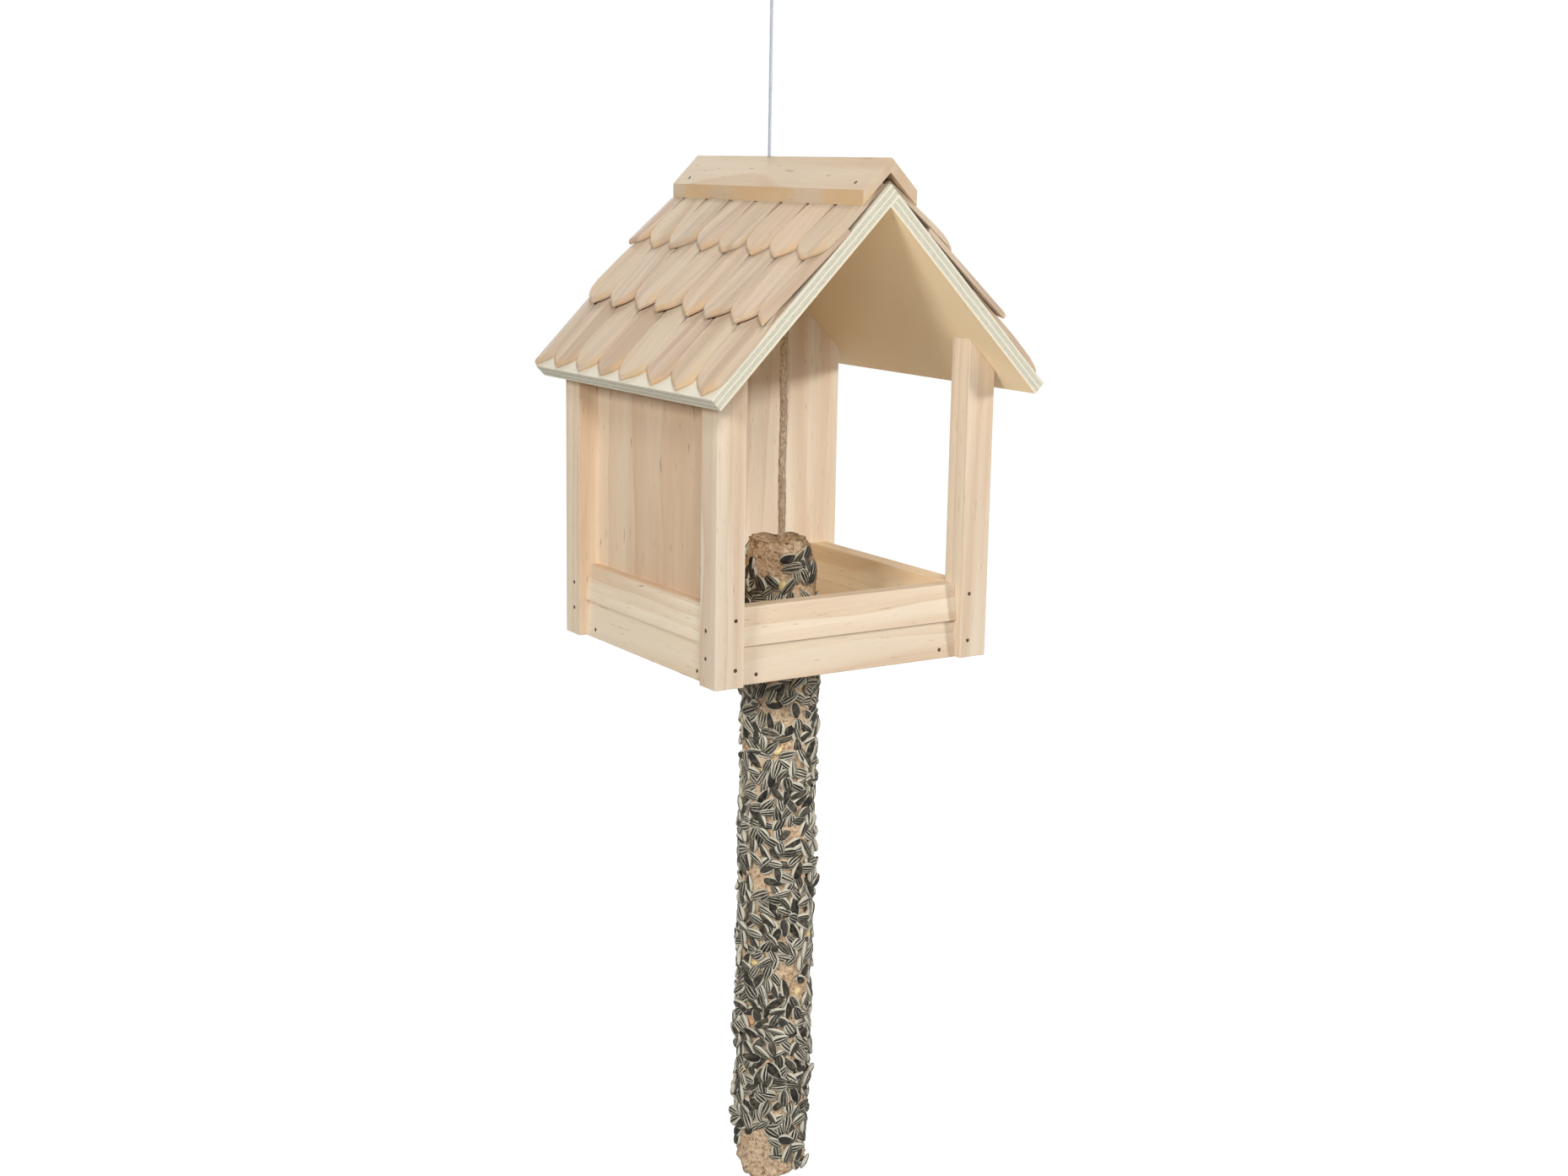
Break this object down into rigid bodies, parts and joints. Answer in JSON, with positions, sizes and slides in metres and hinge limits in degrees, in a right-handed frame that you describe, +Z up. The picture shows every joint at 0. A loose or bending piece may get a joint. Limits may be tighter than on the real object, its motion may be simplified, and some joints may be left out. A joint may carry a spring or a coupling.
{
  "type": "hanging bird house feeder",
  "caption": "Pine bird house feeder with a shingled gable roof, open front and side and a rimmed tray, hung on a steel cable, with a seed stick hanging through its floor.",
  "frame": {"origin": "inside of the hanging loop's crown, where it bears on a hook, on the cable's axis", "axes": "+Z up along the cable, X across the house's width, the open front faces -Y and the open side +X"},
  "size_m": [0.2416, 0.2196, 0.8253],
  "materials": {
    "pine": "planed, untreated",
    "plywood": "sanded plywood, bare edges",
    "split_pine": "sawn veneer, untreated",
    "nail_steel": "dull",
    "plated_steel": "zinc plated",
    "crimp_aluminium": "satin",
    "cable_steel": "stranded, satin",
    "jute": "twisted, hairy",
    "fat_and_meal": "crumbly",
    "striped_hulls": "dusty, striped",
    "maize": "broken kernels"
  },
  "bodies": {
    "hanger": {"hanging_loop": "cable_steel", "loop_sleeve": "crimp_aluminium", "suspension_cable": "cable_steel", "stop_sleeve": "crimp_aluminium"},
    "house": {"post_front_left": "pine", "post_front_right": "pine", "post_rear_left": "pine", "post_rear_right": "pine", "lower_board_front": "pine", "lower_board_back": "pine", "lower_board_left": "pine", "lower_board_right": "pine", "upper_board_front": "pine", "upper_board_back": "pine", "upper_board_left": "pine", "upper_board_right": "pine", "wall_left": "pine", "wall_back": "pine", "floor_panel": "pine", "ridge_cap": "pine", "roof_panel_left": "plywood", "roof_panel_right": "plywood", "shingles_left_bottom": "split_pine", "shingles_left_middle": "split_pine", "shingles_left_top": "split_pine", "shingles_right_bottom": "split_pine", "shingles_right_middle": "split_pine", "shingles_right_top": "split_pine", "post_nails": "nail_steel", "floor_nails": "nail_steel", "roof_nails": "nail_steel", "cap_nails": "nail_steel", "stop_washer": "plated_steel", "screw_hook": "plated_steel"},
    "cord_eye": {"jute_eye": "jute"},
    "cord_knot": {"jute_knot": "jute"},
    "seed_stick": {"jute_cord": "jute", "stick_core": "fat_and_meal", "sunflower_seeds": "striped_hulls", "maize_kernels": "maize"}
  },
  "joints": [
    {"name": "house_turn", "type": "hinge", "parent": "hanger", "child": "house", "pos_m": [0, 0, -0.18086], "axis": [0, 0, 1], "continuous": true},
    {"name": "stick_swing_fore", "type": "hinge", "parent": "house", "child": "cord_eye", "pos_m": [0, -0.021, -0.19536], "axis": [1, 0, 0], "range_deg": [-2, 2]},
    {"name": "stick_swing_side", "type": "hinge", "parent": "cord_eye", "child": "cord_knot", "pos_m": [0, -0.021, -0.21736], "axis": [0, 1, 0], "range_deg": [-2, 2]},
    {"name": "stick_turn", "type": "hinge", "parent": "cord_knot", "child": "seed_stick", "pos_m": [0, -0.021, -0.38136], "axis": [0, 0, 1], "continuous": true}
  ]
}
